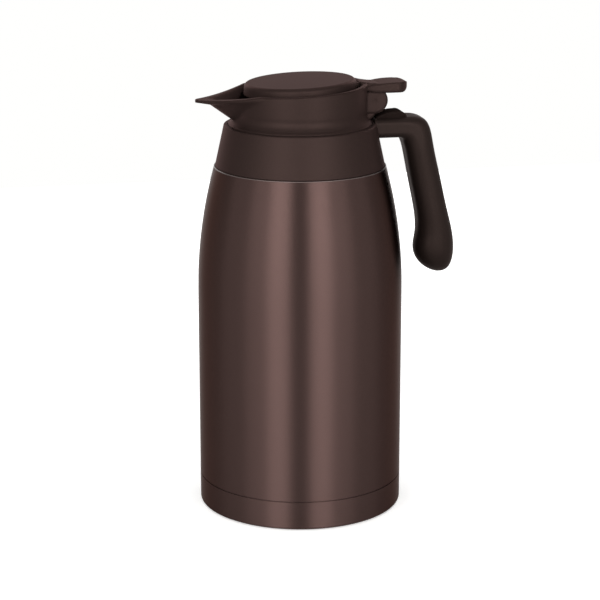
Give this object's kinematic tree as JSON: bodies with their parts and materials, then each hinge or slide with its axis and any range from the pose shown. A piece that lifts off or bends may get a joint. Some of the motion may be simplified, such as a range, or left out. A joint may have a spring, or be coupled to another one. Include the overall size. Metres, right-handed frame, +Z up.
{
  "type": "thermal jug",
  "caption": "Double-walled steel vacuum jug with a side handle, a screw-in pouring lid with a spout, and a round cap that tips open by a thumb lever.",
  "frame": {"origin": "on the jug's axis, at the plane it stands on", "axes": "+Z up along the jug's axis, +X towards the handle, -X towards the spout, Y across"},
  "size_m": [0.1797, 0.14, 0.2967],
  "materials": {
    "lacquered_steel": "satin metallic brown lacquer over brushed steel",
    "bare_steel": "drawn and polished steel",
    "getter_metal": "sintered pellet",
    "foil": "bright foil",
    "brown_plastic": "satin dark brown moulding",
    "dark_elastomer": "matt dark pad",
    "inner_plastic": "plain moulding",
    "silicone": "matt translucent silicone",
    "foam": "light insulation"
  },
  "bodies": {
    "jug": {"outer_shell": "lacquered_steel", "shell_neck": "bare_steel", "base_cap": "lacquered_steel", "outer_bottom": "bare_steel", "vacuum_seal": "bare_steel", "getter": "getter_metal", "inner_flask": "bare_steel", "flask_neck": "bare_steel", "foil_wrap": "foil", "collar": "brown_plastic", "collar_gasket": "silicone", "handle": "brown_plastic", "handle_screws": "bare_steel", "lever_stop_pad": "dark_elastomer"},
    "stopper_seal": {"stopper_gasket": "silicone"},
    "lid": {"lid_ring": "brown_plastic", "stopper_tube": "inner_plastic", "hinge_pin": "bare_steel", "lid_spring": "bare_steel"},
    "tipping_cap": {"lid_cap": "brown_plastic", "cap_liner": "inner_plastic", "cap_foam": "foam", "cap_seal": "silicone", "seal_retainer": "inner_plastic", "thumb_lever": "brown_plastic", "lever_screws": "bare_steel"}
  },
  "joints": [
    {"name": "lid_rise", "type": "slide", "parent": "jug", "child": "stopper_seal", "axis": [0, 0, 1], "range_m": [0, 0.03]},
    {"name": "lid_turn", "type": "hinge", "parent": "stopper_seal", "child": "lid", "pos_m": [0, 0, 0.262], "axis": [0, 0, 1], "range_deg": [0, 450]},
    {"name": "cap_tip", "type": "hinge", "parent": "lid", "child": "tipping_cap", "pos_m": [0.0502, 0, 0.2805], "axis": [0, 1, 0], "range_deg": [0, 39], "stiffness_Nm_per_rad": 0.08, "springref_deg": -28.65, "deforming": ["lid_spring"]}
  ],
  "couplings": [
    {"joint": "lid_rise", "follows": "lid_turn", "m_per_rad": 0.0038197}
  ]
}
